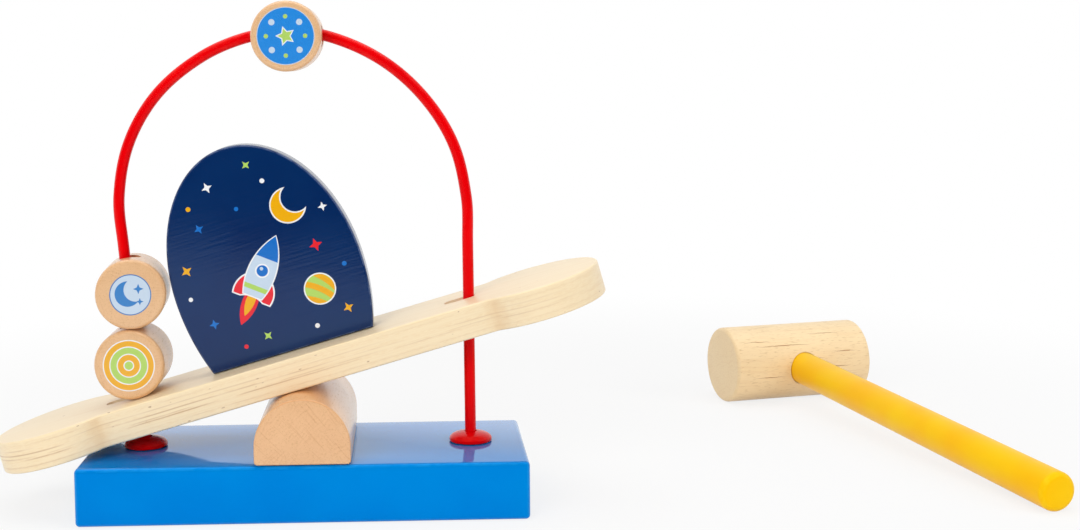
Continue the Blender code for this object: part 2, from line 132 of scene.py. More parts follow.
def smooth(piece):
    """Shades a piece smooth and keeps the edges that turn more than SHARP."""
    piece.data.polygons.foreach_set("use_smooth", np.ones(len(piece.data.polygons), dtype=bool))
    piece.data.set_sharp_from_angle(angle=SHARP)


def drill(piece, *tools):
    """Cuts tool shapes out of a piece, removes the tools and shades the piece again."""
    for tool in tools:
        cut = piece.modifiers.new("cut", "BOOLEAN")
        cut.operation = "DIFFERENCE"
        cut.solver = "EXACT"
        cut.object = tool
        carved = bpy.data.meshes.new_from_object(
            piece.evaluated_get(bpy.context.evaluated_depsgraph_get()))
        piece.modifiers.remove(cut)
        bpy.data.objects.remove(tool)
        piece.data = carved
    smooth(piece)
    return piece


print("helpers ready")

# %% [markdown]
# ## Four ways to make a surface
#
# Nearly every wooden toy is made on four machines, and each has its formula. A lathe turns a profile
# round an axis. A saw cuts an outline out of a plate, and a router rounds its rims. A planer leaves
# a block with softened edges. A bending jig carries a round section along a path.

# %% Turned, sawn, planed and bent surfaces
def ramp(count):
    """Evenly spaced numbers from 0 to 1."""
    return np.linspace(0.0, 1.0, count)


def circle(sides):
    """Angles round a full turn, without repeating the first."""
    return np.arange(sides) * math.tau / sides


def pairs(first, second):
    """Two rows of numbers as points."""
    return np.stack((first, second), axis=1)


def arc(t, across, up, x=0.0, z=0.0):
    """Points (x + across cos t, z + up sin t)."""
    return pairs(x + across * np.cos(t), z + up * np.sin(t))


def turned(profile, origin, across, other, along, sides=96):
    """Point = origin + radius (across cos a + other sin a) + height along, for each (radius, height)."""
    radius, height = np.asarray(profile, float).T
    angle = circle(sides)
    spoke = np.cos(angle)[:, None] * across + np.sin(angle)[:, None] * other
    return origin + radius[:, None, None] * spoke + height[:, None, None] * along


def rounded_ends(radius, low, high, edge, steps=8):
    """Profile of a bar: axis, rounded corner, side, rounded corner, axis."""
    turn = ramp(steps) * math.pi / 2.0
    side, rise = radius - edge + edge * np.sin(turn), low + edge - edge * np.cos(turn)
    lower, upper = pairs(side, rise), pairs(side, low + high - rise)[::-1]
    return np.concatenate(([(0.0, low)], lower, upper, [(0.0, high)]))


def bar(radius, low, high):
    """Profile of a plain bar."""
    return [(0.0, low), (radius, low), (radius, high), (0.0, high)]


def inset(outline, amount):
    """Moves a closed anticlockwise outline inwards by amount along the mean normal of its two edges."""
    before = outline - np.roll(outline, 1, axis=0)
    after = np.roll(outline, -1, axis=0) - outline
    before /= np.linalg.norm(before, axis=1)[:, None]
    after /= np.linalg.norm(after, axis=1)[:, None]
    inward = pairs(-before[:, 1] - after[:, 1], before[:, 0] + after[:, 0])
    inward /= np.linalg.norm(inward, axis=1)[:, None]
    facing = -before[:, 1] * inward[:, 0] + before[:, 0] * inward[:, 1]
    return outline + inward * (amount / facing)[:, None]


def sawn(outline, thickness, edge, steps):
    """A plate: rims follow the outline, inset by edge (1 - sin t) at height half - edge (1 - cos t).

    Its flat faces are strips from each outline point to its partner on the other side.
    """
    turn = ramp(steps) * math.pi / 2.0
    depth = edge * (1.0 - np.sin(turn))
    height = thickness / 2.0 - edge + edge * np.cos(turn)
    rings = [np.insert(inset(outline, d), 1, -h, axis=1) for d, h in zip(depth, height)]
    rings += [np.insert(inset(outline, d), 1, h, axis=1) for d, h in zip(depth[::-1], height[::-1])]
    half = (len(outline) + 1) // 2
    flats = [np.stack((ring[:half], ring[::-1][:half]), axis=1) for ring in (rings[0], rings[-1])]
    return [(np.array(rings), False, True), (flats[0], False, False), (flats[1], False, False)]


def planed(low, high, edge, steps=6):
    """A block: a point q on its outer box moves to c + edge (q - c) / |q - c|, c being q held inside."""
    centre, half = (low + high) / 2.0, (high - low) / 2.0
    turn = np.tan(ramp(steps) * math.pi / 4.0) * edge
    faces = []
    for axis in range(3):
        first, second = [k for k in range(3) if k != axis]
        stations = [np.concatenate((turn - half[k], (half[k] - turn)[::-1])) for k in (first, second)]
        for side in (-1.0, 1.0):
            q = np.zeros((len(stations[0]), len(stations[1]), 3))
            q[..., axis] = side * half[axis]
            q[..., first] = stations[0][:, None]
            q[..., second] = stations[1][None, :]
            held = np.clip(q, edge - half, half - edge)
            away = q - held
            away /= np.maximum(np.linalg.norm(away, axis=2), 1e-12)[..., None]
            faces.append((centre + held + edge * away, False, False))
    return faces


def bent(path, radius, sides=32):
    """A bar: point = path + radius (side cos a + Y sin a), side being at right angles to the path."""
    heading = np.gradient(path, axis=0)
    heading /= np.linalg.norm(heading, axis=1)[:, None]
    side = np.stack((heading[:, 2], np.zeros(len(path)), -heading[:, 0]), axis=1)
    angle = circle(sides)
    ring = np.cos(angle)[:, None] * side[:, None] + np.sin(angle)[:, None] * np.array((0.0, 1.0, 0.0))
    tube = path[:, None] + radius * ring
    ends = np.repeat(path[[0, -1], None], sides, axis=1)
    return np.concatenate((ends[:1], tube, ends[1:]))


def sawn_piece(name, outline, thickness, edge, origin, turn=np.eye(3), steps=6):
    """One object from the saw, turned and moved from its own frame to where it stands."""
    grids = sawn(outline, thickness, edge, steps)
    return make_piece(name, [(points @ turn.T + origin, rows, columns) for points, rows, columns in grids])


def tilted(tilt):
    """The board's frame: x along it, y across it and z away from it."""
    return np.array(((math.cos(tilt), 0.0, -math.sin(tilt)), (0.0, 1.0, 0.0),
                     (math.sin(tilt), 0.0, math.cos(tilt))))


board_turn = tilted(rest_tilt)
print("board frame", board_turn.round(3).tolist())

# %% [markdown]
# ## Base block
#
# The base is a plain block of wood, planed square and painted. A sharp corner would not hold paint,
# so every edge is rounded by 2 mm. Two screws come up from below into the fulcrum, and their heads
# sit in countersunk holes. A cube with a Bevel modifier would do too. Here the block is a formula:
# each point of a box is pulled back to a fixed distance from a smaller box inside it.

# %% Base block
X, Y, Z = np.eye(3)
base_round = 0.002
screw_seat = (0.0043, 0.0013)
screw_shank = (0.0023, 0.0037)
screw_spread = 0.022


def settle(piece, body, *solids):
    """Lets a finished piece ride with a body in place of the solids that it stands for."""
    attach(piece, body)
    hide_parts(*solids)
    print(piece.name, len(piece.data.polygons), "faces on", body)


def turned_piece(name, profile, origin, along, across):
    """One object on the lathe, from its profile and two directions at right angles."""
    surface = turned(profile, origin, across, np.cross(along, across), along)
    return make_piece(name, [(surface, False, True)])


def screw_hole(y):
    """Countersunk hole from below: wide seat, cone and shank, up through the block."""
    seat, shank = screw_seat, screw_shank
    top = base_high[2] + base_round
    profile = [(0.0, -base_round), (seat[0], -base_round), seat, shank, (shank[0], top), (0.0, top)]
    return turned_piece("screw_hole_tool", profile, Y * y, Z, X)


painted_base = make_piece("painted_base", planed(base_low, base_high, base_round))
drill(painted_base, screw_hole(-screw_spread), screw_hole(screw_spread))
settle(painted_base, "bench", "base_block")

# %% [markdown]
# ## Fulcrum
#
# The fulcrum is half of a round bar with a little of its square foot left below, so its front shows
# end grain. It is sawn from the outline of two sides and an arc, and its rims are barely broken.

# %% Fulcrum
fulcrum_rim = 0.0008
foot_round = 0.0016


def half_round(radius, side, steps=64, foot_steps=8):
    """Outline: radius (cos t, sin t) raised by the side height, t from 0 to pi, and two rounded feet."""
    t = ramp(foot_steps) * math.pi / 2.0
    foot = pairs(radius - foot_round * (1.0 - np.sin(t)), foot_round * (1.0 - np.cos(t)))
    crown = arc(ramp(steps) * math.pi, radius, radius, 0.0, side)
    return np.concatenate((foot[::-1] * (-1.0, 1.0), foot, crown))


fulcrum_length = fulcrum_high[1] - fulcrum_low[1]
fulcrum_outline = half_round(fulcrum_radius, fulcrum_side)
beech_fulcrum = sawn_piece(
    "beech_fulcrum", fulcrum_outline, fulcrum_length, fulcrum_rim, Z * fulcrum_low[2])
settle(beech_fulcrum, "bench", "fulcrum")

# %% [markdown]
# ## Seesaw board
#
# The board is cut from 15 mm plywood: a straight waist with a round paddle at each end, and a small
# inner curve where they meet. Two slots let the wire through. The outline is one quarter, made of
# two arcs and a straight run, mirrored three times. The slots are measured on the solid, because the
# leaning leg of the wire sets how long they are.

# %% Board outline
board_thickness = 0.015
board_half_width = 0.0242
board_half_length = 0.145
paddle_radius = 0.0320
neck_round = 0.006
board_rim = 0.001


def board_outline(steps=48):
    """Quarter outline: paddle arc from the tip, neck arc, straight waist; then its three mirrors."""
    paddle = board_half_length - paddle_radius
    both = paddle_radius + neck_round
    reach = math.sqrt(both ** 2 - (board_half_width + neck_round) ** 2)
    touch = math.atan2(board_half_width + neck_round, -reach)
    tip = arc(ramp(steps) * touch, paddle_radius, paddle_radius, paddle)
    t = touch - math.pi + ramp(steps // 4)[1:] * (math.pi / 2.0 - touch)
    neck = arc(t, neck_round, neck_round, paddle - reach, board_half_width + neck_round)
    run = (paddle - reach) * (1.0 - ramp(steps // 2)[1:-1])
    quarter = np.concatenate((tip, neck, pairs(run, np.full(len(run), board_half_width))))
    upper = np.concatenate((quarter, quarter[::-1] * (-1.0, 1.0)))
    return np.concatenate((upper, upper[::-1][1:-1] * (1.0, -1.0)))


def corners_in(node, turn, origin):
    """Corners of a solid in a turned frame."""
    mesh = nodes[node].data
    flat = np.empty(len(mesh.vertices) * 3)
    mesh.vertices.foreach_get("co", flat)
    return (flat.reshape(-1, 3) - origin) @ turn


board_corners = corners_in("seesaw_board", board_turn, pivot)
board_low, board_top = board_corners[:, 2].min(), board_corners[:, 2].max()
print("board from", round(board_low, 5), "to", round(board_top, 5), "above the pivot")

# %% Slots and board
slot_half = 0.0035
slot_wall = slot_half * 1.02
slot_cut = board_thickness * 1.5
slot_steps = 24
between_dowels = 0.05
beyond_slots = 0.12
lying = board_turn @ np.stack((X, Z, -Y), axis=1)
board_middle = pivot + board_turn @ (Z * (board_low + board_top) / 2.0)


def slot_tool(side):
    """A stadium as long as the slot of the solid on that side, taller than the board."""
    x = board_corners[np.abs(board_corners[:, 1]) < slot_wall][:, 0] * side
    x = x[(x > between_dowels) & (x < beyond_slots)]
    t = ramp(slot_steps) * math.pi - math.pi / 2.0
    end = arc(t, slot_half, slot_half, x.max() - slot_half)
    start = arc(t, -slot_half, -slot_half, x.min() + slot_half)
    first, last = end[slot_steps // 2:], end[:slot_steps // 2]
    outline = np.concatenate((first, start, last)) * side
    print("slot", side, "from", round(x.min() * side, 4), "to", round(x.max() * side, 4))
    return sawn_piece("slot_tool", outline, slot_cut, 0.0, board_middle, lying, steps=2)


plywood_board = sawn_piece(
    "plywood_board", board_outline(), board_thickness, board_rim, board_middle, lying)
drill(plywood_board, slot_tool(-1.0), slot_tool(1.0))
settle(plywood_board, "seesaw", "seesaw_board")

# %% [markdown]
# ## Sky panel
#
# The panel is a board of the same thickness with an egg-shaped outline: an ellipse above its widest
# line and part of a taller ellipse below it, cut straight where it stands on the board. Its axis
# leans a little. Its width is read from the solid, which leaves room for the discs. It is sawn like
# the board and painted after its rims are rounded.

# %% Sky panel
panel_height = 0.0984
panel_foot_tuck = 0.0057
panel_widest = 0.035
panel_lean = 0.0033
panel_rim = 0.0012
panel_gap = 0.0003
panel_across = corners_in("sky_panel", board_turn, pivot)[:, 0]
panel_half_width = (panel_across.max() - panel_across.min()) / 2.0
panel_foot_half_width = panel_half_width - panel_foot_tuck
panel_centre = (panel_across.max() + panel_across.min()) / 2.0 + panel_lean * panel_widest / panel_height


def panel_outline(steps=72):
    """Right side: half width (cos t) at widest + depth (sin t), lower then upper ellipse; left mirrored."""
    lower_depth = panel_widest / math.sqrt(1.0 - (panel_foot_half_width / panel_half_width) ** 2)
    t = -math.asin(panel_widest / lower_depth) * (1.0 - ramp(steps // 2)[:-1])
    lower = arc(t, panel_half_width, lower_depth, 0.0, panel_widest)
    t = ramp(steps) * math.pi / 2.0
    upper = arc(t, panel_half_width, panel_height - panel_widest, 0.0, panel_widest)
    right = np.concatenate((lower, upper))
    outline = np.concatenate((right, right[::-1][1:] * (-1.0, 1.0)))
    outline[:, 0] += panel_centre - panel_lean * outline[:, 1] / panel_height
    return outline + (0.0, board_top + panel_gap)


painted_panel = sawn_piece(
    "painted_panel", panel_outline(), board_thickness, panel_rim, pivot, board_turn)
settle(painted_panel, "seesaw", "sky_panel")

# %% [markdown]
# ## Wire arch and its caps
#
# The arch is one steel wire, dipped in red plastic. Its legs are straight and stand in the base; the
# left one leans outwards. Between them the wire was bent by hand over a former, so the curve passes a
# few measured places instead of following a true circle. A cubic between each two places, with slopes
# taken from their neighbours, gives a smooth run. The two caps are small domes turned on a lathe.

# %% Wire path
wire_radius = 0.0026
socket_depth = 0.018
leg_leans = (-0.0866, -0.0043)
leg_top = 0.1198
leg_steps = 24
arch_shares = np.array(
    (-0.0636, -0.0291, 0.0589, 0.1927, 0.3331, 0.4589, 0.5854, 0.7424, 0.8689, 0.9570, 0.9947))
arch_heights = np.array(
    (0.1425, 0.1674, 0.1894, 0.2059, 0.2148, 0.2168, 0.2147, 0.2037, 0.1865, 0.1648, 0.1401))
feet = [sum(spread(cap)) / 2.0 * X + Z * base_high[2] for cap in ("foot_cap_left", "foot_cap_right")]


def on_leg(side, height):
    """Centre of a straight leg at a height: foot + lean (height - base top)."""
    rise = height - base_high[2]
    return feet[side] + X * leg_leans[side] * rise + Z * rise


def flowing(knots, slopes, steps=16):
    """Cubics a (2t3 - 3t2 + 1) + b (3t2 - 2t3) + span (slope a (t3 - 2t2 + t) + slope b (t3 - t2))."""
    a, b = knots[:-1, None], knots[1:, None]
    span = np.linalg.norm(b - a, axis=2)[..., None]
    t = (np.arange(steps) / steps)[None, :, None]
    rise = span * (slopes[:-1, None] * (t ** 3 - 2 * t ** 2 + t) + slopes[1:, None] * (t ** 3 - t ** 2))
    points = a * (2 * t ** 3 - 3 * t ** 2 + 1) + b * (3 * t ** 2 - 2 * t ** 3) + rise
    return points.reshape(-1, 3)


def unit(rows):
    """Rows made one long."""
    return rows / np.linalg.norm(rows, axis=-1, keepdims=True)


middle = (feet[0] + (feet[1] - feet[0]) * arch_shares[:, None]) * X + Z * arch_heights[:, None]
knots = np.concatenate(([on_leg(0, leg_top)], middle, [on_leg(1, leg_top)]))
ends = [on_leg(side, base_high[2] - socket_depth) for side in (0, 1)]
slopes = unit(np.concatenate(([knots[0] - ends[0]], knots[2:] - knots[:-2], [ends[1] - knots[-1]])))
leg_share = ramp(leg_steps)[:-1, None]
wire_path = np.concatenate((
    ends[0] + (knots[0] - ends[0]) * leg_share, flowing(knots, slopes),
    knots[-1] + (ends[1] - knots[-1]) * leg_share, [ends[1]]))
coated_wire = make_piece("coated_wire", [(bent(wire_path, wire_radius), False, True)])
settle(coated_wire, "bench", "wire_arch")

# %% Foot caps
cap_radius = 0.0099
cap_rim = 0.001
cap_height = 0.0046
cap_gap = 0.0003


def cap_profile(steps=16):
    """Closed ring profile: bore, flat foot, short rim and an elliptic dome back to the bore."""
    bore = wire_radius + cap_gap
    reach = math.acos(bore / cap_radius)
    dome = arc(ramp(steps) * reach, cap_radius, cap_height - cap_rim, 0.0, cap_rim)
    return np.concatenate(([(bore, 0.0), (cap_radius - cap_gap, 0.0), (cap_radius, cap_gap)], dome))


for foot, solid in zip(feet, ("foot_cap_left", "foot_cap_right")):
    shell = turned(cap_profile(), foot + Z * cap_gap, X, Y, Z)
    domed_cap = make_piece(solid.replace("foot_cap", "domed_cap"), [(shell, True, True)])
    settle(domed_cap, "bench", solid)

# %% [markdown]
# ## Discs
#
# The three discs are slices of a beech bar, nearly as thick as they are wide. Their rims are rounded,
# and each has a bore for the wire, wide enough for a disc to slide round the bend, so the discs hang
# loosely to one side of it. The slice is sawn from a round outline, then drilled. The upper one is
# turned a little about the wire.

# %% Discs
disc_rim = 0.002
disc_bore = 0.0051
disc_sides = 160
upper_disc_turn = math.radians(4.5)


def disc_piece(name, solid, heading, turn):
    """A round plate where the solid is, turned about the wire's heading, with a bore along it."""
    rotation = Matrix.Rotation(turn, 3, Vector(heading))
    own = np.array(rotation)
    corners = corners_in(solid, own, np.zeros(3))
    low, high = corners.min(axis=0), corners.max(axis=0)
    centre, radius = own @ (low + high) / 2.0, (high[0] - low[0]) / 2.0
    outline, reach = arc(circle(disc_sides), radius, radius), radius + disc_rim
    disc = sawn_piece(name, outline, high[1] - low[1], disc_rim, centre, own, steps=10)
    drill(disc, turned_piece("bore_tool", bar(disc_bore, -reach, reach), centre, heading, Y))
    print(name, "centre", centre.round(4).tolist())
    return centre, tuple(rotation.to_euler())


disc_frames = {}
for name, solid, body, heading, turn in (
        ("banded_disc", "disc_lower", "lower_disc", slopes[0], 0.0),
        ("moon_disc", "disc_upper", "upper_disc", slopes[0], upper_disc_turn),
        ("spotted_disc", "disc_top", "top_disc", X, 0.0)):
    disc_frames[name] = disc_piece(name, solid, heading, turn)
    settle(bpy.data.objects[name], body, solid)

# %% [markdown]
# ## Mallet
#
# The head is a thick round bar of pale wood with rounded ends. The handle is a painted bar, glued
# into a bore of the head. Both are turned. The mallet lies on the floor: the head rests on its side
# and the handle slopes down to its far end.

# %% Mallet
handle_radius = 0.0092
handle_reach = 0.249
handle_socket = 0.028
head_rim = 0.0022
handle_rim = 0.0028
handle_gap = 0.0003
mallet_turn = math.radians(14.0)
mallet_place = np.array((0.274, 0.196, 0.0))
head_radius = 0.0218
head_length = 0.086

head_way = np.array((math.cos(mallet_turn), math.sin(mallet_turn), 0.0))
slope = math.asin((head_radius - handle_radius) / handle_reach)
handle_way = np.array((math.sin(mallet_turn) * math.cos(slope),
                       -math.cos(mallet_turn) * math.cos(slope), -math.sin(slope)))
up_way = np.cross(head_way, handle_way)
head_centre = mallet_place + Z * head_radius
half_head = head_length / 2.0

head_profile = rounded_ends(head_radius, -half_head, half_head, head_rim)
turned_head = turned_piece("turned_head", head_profile, head_centre, head_way, up_way)
socket_floor = head_radius - handle_socket
bore_profile = bar(handle_radius + handle_gap, socket_floor - handle_gap, head_radius + head_rim)
drill(turned_head, turned_piece("handle_bore_tool", bore_profile, head_centre, handle_way, head_way))
settle(turned_head, "mallet", "mallet_head")
handle_profile = rounded_ends(handle_radius, socket_floor, handle_reach, handle_rim)
painted_handle = turned_piece("painted_handle", handle_profile, head_centre, handle_way, head_way)
settle(painted_handle, "mallet", "mallet_handle")

# %% [markdown]
# ## Building finishes from nodes
#
# A finish is a small network: places on the piece go in, colour, gloss and height come out. Every
# piece keeps its place in its mesh, so Object coordinates are places on the bench in metres, and a
# Mapping node turns them into the piece's own frame. Effects that several finishes share are node
# groups with named sockets. They are built once and placed with their own values. What a node gives
# is wrapped in a small class, so a sum is written as with plain numbers and becomes Math nodes.

# %% Node helpers
nowhere = (0.0, 0.0, 0.0)
upright = (1.0, 0.0, 1.0)


def seen(red, green, blue):
    """A colour as the eye sees it, 0 to 255, as the light values that Blender mixes."""
    share = np.array((red, green, blue)) / 255.0
    light = np.where(share <= 0.04045, share / 12.92, ((share + 0.055) / 1.055) ** 2.4)
    return (*light.tolist(), 1.0)


class Field:
    """One output of a node. Arithmetic on it adds Math nodes to its tree."""

    def __init__(self, socket):
        self.socket, self.tree = socket, socket.id_data

    def math(self, operation, *others):
        """One Math node with this value first."""
        return add(self.tree, "Math", enumerate((self, *others)), operation=operation)[0]

    def __add__(self, other):
        return self.math("ADD", other)

    def __sub__(self, other):
        return self.math("SUBTRACT", other)

    def __rsub__(self, other):
        return add(self.tree, "Math", {0: other, 1: self}, operation="SUBTRACT")[0]

    def __mul__(self, other):
        return self.math("MULTIPLY", other)

    def __truediv__(self, other):
        return self.math("DIVIDE", other)

    def __abs__(self):
        return self.math("ABSOLUTE")


class Outputs:
    """The outputs of a node as fields, by name or number."""

    def __init__(self, node):
        self.node = node

    def __getitem__(self, key):
        return Field(self.node.outputs[key])


def fill(made, inputs):
    """Gives a node's inputs values or links."""
    for key, value in dict(inputs).items():
        if isinstance(value, Field):
            value.tree.links.new(value.socket, made.inputs[key])
        else:
            made.inputs[key].default_value = value


def add(tree, kind, inputs=(), **settings):
    """Adds a node, sets its options, fills its inputs and gives its outputs."""
    made = tree.nodes.new("ShaderNode" + kind)
    for name, value in settings.items():
        setattr(made, name, value)
    fill(made, inputs)
    return Outputs(made)


def vectors(operation, first, *others):
    """One Vector Math node that gives a vector."""
    return add(first.tree, "VectorMath", enumerate((first, *others)), operation=operation)[0]


def apart(vector):
    """The X, Y and Z of a vector."""
    return add(vector.tree, "SeparateXYZ", {0: vector})


def angle_of(parts):
    """The angle in the XZ plane, from Z towards X."""
    return parts["X"].math("ARCTAN2", parts["Z"])


def length(vector):
    """How long a vector is."""
    return add(vector.tree, "VectorMath", {0: vector}, operation="LENGTH")["Value"]


def upright_distance(vector, centre):
    """The way from a centre, and how long it is in the XZ plane."""
    away = vectors("SUBTRACT", vector, centre)
    return away, length(vectors("MULTIPLY", away, upright))


def step(value, low, high):
    """0 below low, 1 above high, and a soft rise between; the other way round if low is above high."""
    inputs = {"Value": value, "From Min": low, "From Max": high}
    return add(value.tree, "MapRange", inputs, interpolation_type="SMOOTHSTEP")["Result"]


def band(value, low, rise, fall, high):
    """1 from rise to fall, and softly down to 0 at low and high."""
    return step(value, low, rise) * step(value, high, fall)


def between(share, low, high):
    """Low where the share is 0, high where it is 1."""
    return add(share.tree, "MapRange", {"Value": share, "To Min": low, "To Max": high})["Result"]


def over(share, below, above):
    """Lays one colour over another where the share is 1."""
    return add(share.tree, "Mix", {0: share, 6: below, 7: above}, data_type="RGBA")[2]


def clamp(value, low=0.0, high=1.0):
    """The value, kept between low and high."""
    return add(value.tree, "Clamp", {0: value, 1: low, 2: high})[0]


def largest(first, *others):
    """The largest of some values."""
    for other in others:
        first = first.math("MAXIMUM", other)
    return first


def noise(vector, scale, detail=2.0):
    """Noise from 0 to 1; scale is a number or a vector in waves per metre."""
    waves = (scale, scale, scale) if isinstance(scale, float) else scale
    inputs = {"Vector": vectors("MULTIPLY", vector, waves), "Scale": 1.0, "Detail": detail}
    return add(vector.tree, "TexNoise", inputs)["Fac"]


def new_group(name, takes, *gives):
    """An empty shader group: one value is a number, three are a vector, and four are a colour."""
    tree = bpy.data.node_groups.new(name, "ShaderNodeTree")
    for label, value in takes.items():
        kind = {1: "Float", 3: "Vector", 4: "Color"}[np.size(value)]
        socket = tree.interface.new_socket(label, in_out="INPUT", socket_type="NodeSocket" + kind)
        socket.default_value = value
    for label in gives:
        kind = "Color" if label == "Color" else "Float"
        tree.interface.new_socket(label, in_out="OUTPUT", socket_type="NodeSocket" + kind)
    return tree, Outputs(tree.nodes.new("NodeGroupInput")), tree.nodes.new("NodeGroupOutput")


def spaced(values):
    """Names as sockets have them, with spaces for underscores."""
    return {name.replace("_", " "): value for name, value in values.items()}


def placed(group, vector, **values):
    """A node that holds a group and reads places from a vector."""
    return add(vector.tree, "Group", {"Vector": vector, **spaced(values)}, node_tree=group)


print("node helpers ready")

# %% [markdown]
# ## Wood as a solid
#
# Wood is a solid pattern: rings round a pith that is often outside the piece, thin rays that run out
# from it, fibres and short pores along the trunk. Worked out in space and not on the surface, one
# pattern gives end grain where the piece is cut across and streaks where it is cut along. In this
# group the trunk runs along Y.

# %% Wood group
def wood_group():
    """Rings: fract(distance / width). Rays: noise of angle. Fibres and pores: noise stretched along Y."""
    tree, into, out = new_group(
        "wood grain",
        {"Vector": nowhere, "Pale": seen(250, 230, 200), "Dark": seen(215, 170, 120),
         "Pith": (0.03, 0.0, -0.06), "Ring Width": 0.0022, "Rings": 0.3, "Waver": 0.002,
         "Rays": 0.2, "Fibres": 0.3, "Pores": 0.4}, "Color", "Height", "Pore Mask")
    here = into["Vector"]
    wave = add(tree, "TexNoise", {"Vector": here, "Scale": 38.0, "Detail": 2.0})["Color"]
    wave = vectors("MULTIPLY", vectors("SUBTRACT", wave, (0.5, 0.5, 0.5)), upright)
    wave = add(tree, "VectorMath", {0: wave, "Scale": into["Waver"]}, operation="SCALE")[0]
    swayed = vectors("ADD", here, wave)
    away, distance = upright_distance(swayed, into["Pith"])
    ring = (noise(here, (160.0, 20.0, 160.0), 1.0) * 2.6 + distance / into["Ring Width"]).math("FRACT")
    late = band(ring, 0.35, 0.9, 0.92, 1.0) * step(noise(here, (130.0, 20.0, 130.0)), 0.4, 0.7)
    parts = apart(away)
    fan = {"X": angle_of(parts) * 260.0, "Y": distance * 75.0, "Z": parts["Y"] * 160.0}
    fan = add(tree, "CombineXYZ", fan)[0]
    ray = step(noise(fan, 1.0, 1.0), 0.6, 0.72)
    fibre = noise(swayed, (1300.0, 45.0, 1300.0), 3.0)
    pore = step(noise(swayed, (2300.0, 260.0, 2300.0), 0.0), 0.66, 0.76)
    share = late * into["Rings"] + ray * into["Rays"] + (fibre - 0.35) * into["Fibres"]
    share = clamp(share + (noise(here, 55.0) - 0.35) * 0.35)
    tone = over(share, into["Pale"], into["Dark"])
    deep = add(tree, "HueSaturation", {"Value": 0.72, "Saturation": 1.15, "Color": into["Dark"]})[0]
    fill(out, {"Color": over(pore * into["Pores"], tone, deep), "Pore Mask": pore,
               "Height": fibre * 0.6 - pore * 0.8})
    return tree


wood = wood_group()
print("wood grain group with", len(wood.nodes), "nodes")

# %% [markdown]
# ## Paint as a film
#
# Sprayed paint is never quite flat. It has long soft waves, fine orange peel, and on wood the grain
# shows through as faint streaks. A few dust specks settle while it dries. The group gives the height
# of all that, and a tone that makes the colour a little uneven.

# %% Paint group
def paint_group():
    """Height = waves + peel + streaks stretched along X + specks; tone is slow noise."""
    tree, into, out = new_group(
        "paint film", {"Vector": nowhere, "Waves": 0.5, "Peel": 0.2, "Streaks": 0.0}, "Height", "Tone")
    here = into["Vector"]
    height = noise(here, 70.0, 1.0) * into["Waves"] + noise(here, 1100.0, 1.0) * into["Peel"]
    height = height + noise(here, (55.0, 900.0, 900.0), 3.0) * into["Streaks"]
    specks = step(noise(here, 900.0, 0.0), 0.83, 0.87)
    fill(out, {"Height": height + specks * 0.3, "Tone": noise(here, 26.0)})
    return tree


paint = paint_group()
print("paint film group with", len(paint.nodes), "nodes")

# %% [markdown]
# ## Broken edges
#
# Hands and sandpaper meet a toy at its edges first. A rounded edge is where the surface neither faces
# along the plate nor lies across it, so the normal in the piece's own space is enough to find it. The
# group breaks the mask up with noise, because wear is never even.

# %% Edge group
def edge_group():
    """Level = |normal . axis|; the mask rises above 0.15, falls towards 1 and is broken up by noise."""
    tree, into, out = new_group(
        "broken edge", {"Vector": nowhere, "Normal": nowhere, "Axis": (0.0, 1.0, 0.0)}, "Mask", "Front")
    facing = {0: into["Normal"], 1: into["Axis"]}
    along = add(tree, "VectorMath", facing, operation="DOT_PRODUCT")["Value"]
    level = abs(along)
    patchy = step(noise(into["Vector"], 240.0, 3.0), 0.3, 0.65)
    fill(out, {"Mask": band(level, 0.15, 0.5, 0.88, 0.99) * patchy,
               "Front": step(along, -0.93, -0.97)})
    return tree


edge = edge_group()
print("edge group:", edge.name)

# %% [markdown]
# ## Printed shapes
#
# The prints are flat colours with thin pale lines, made by screen printing. A spot is everything
# nearer to its centre than its radius. A star is everything nearer than a radius that depends on the
# angle. Both read places in the XZ plane of the piece, and one soft edge width serves all.

# %% Print groups
ink_edge = 0.00012


def spot_group():
    """Mask of a disc: distance in the XZ plane is under the radius."""
    tree, into, out = new_group(
        "printed spot", {"Vector": nowhere, "Centre": nowhere, "Radius": 0.002}, "Mask")
    _, distance = upright_distance(into["Vector"], into["Centre"])
    fill(out, {"Mask": step(into["Radius"] - distance, -ink_edge, ink_edge)})
    return tree


def star_group():
    """Mask of a star: distance is under R r sin b / (r sin(b - t) + R sin t).

    R and r are the radii of tip and notch, t the angle from a tip and b half a point.
    """
    tree, into, out = new_group(
        "printed star", {"Vector": nowhere, "Centre": nowhere, "Radius": 0.003, "Waist": 0.4,
                         "Points": 4.0, "Turn": 0.0}, "Mask")
    away, distance = upright_distance(into["Vector"], into["Centre"])
    angle = angle_of(apart(away)) + into["Turn"]
    half_point = add(tree, "Math", {0: math.pi, 1: into["Points"]}, operation="DIVIDE")[0]
    fold = (angle + math.tau * 2.0).math("PINGPONG", half_point)
    tip, notch = into["Radius"], into["Radius"] * into["Waist"]
    top = tip * notch * half_point.math("SINE")
    below = tip * fold.math("SINE") + notch * (half_point - fold).math("SINE")
    fill(out, {"Mask": step(top / below - distance, -ink_edge, ink_edge)})
    return tree


spot, star = spot_group(), star_group()
print("print groups:", spot.name, "and", star.name)

# %% Material helpers
paint_relief, head_relief, beech_relief = 0.00006, 0.00006, 0.00005
ply_relief, steel_relief = 0.00004, 0.00003


def framed(vector, origin, turn):
    """Places in a frame that stands at origin and is turned by three angles."""
    inputs = {"Vector": vector, "Location": origin, "Rotation": turn}
    return add(vector.tree, "Mapping", inputs, vector_type="TEXTURE")[0]


